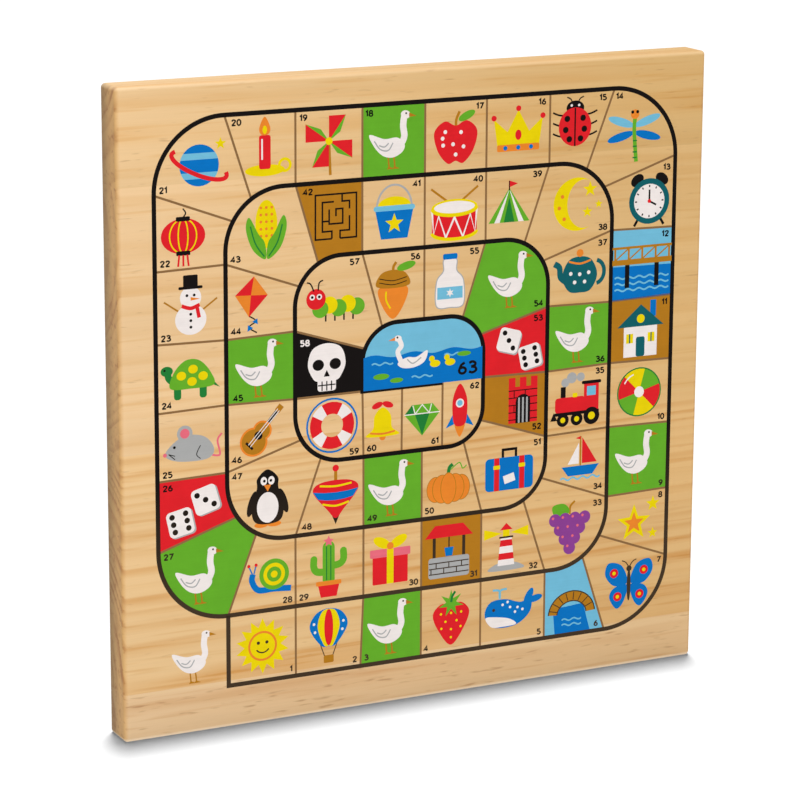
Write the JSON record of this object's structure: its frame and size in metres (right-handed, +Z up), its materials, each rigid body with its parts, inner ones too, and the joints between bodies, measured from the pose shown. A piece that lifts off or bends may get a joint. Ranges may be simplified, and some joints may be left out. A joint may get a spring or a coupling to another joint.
{
  "type": "goose and ludo game board",
  "caption": "Flat square game board of edge-glued pine staves with rounded edges, printed with a numbered goose spiral on its front and a ludo cross on its back.",
  "frame": {"origin": "middle of the bottom edge that the board stands on", "axes": "+Z up across the staves, +X along the grain and to the right of someone facing the goose side, +Y from the goose side through the board to the ludo side"},
  "size_m": [0.3, 0.018, 0.3],
  "materials": {
    "top_pine": "sanded pine under a satin varnish, with orange latewood bands",
    "upper_pine": "sanded pine under a satin varnish, pale and nearly plain",
    "lower_pine": "sanded pine under a satin varnish, with regular latewood lines",
    "bottom_pine": "sanded pine under a satin varnish, browner and flecked"
  },
  "bodies": {
    "root": {"top_stave": "top_pine", "upper_stave": "upper_pine", "lower_stave": "lower_pine", "bottom_stave": "bottom_pine"}
  },
  "joints": []
}
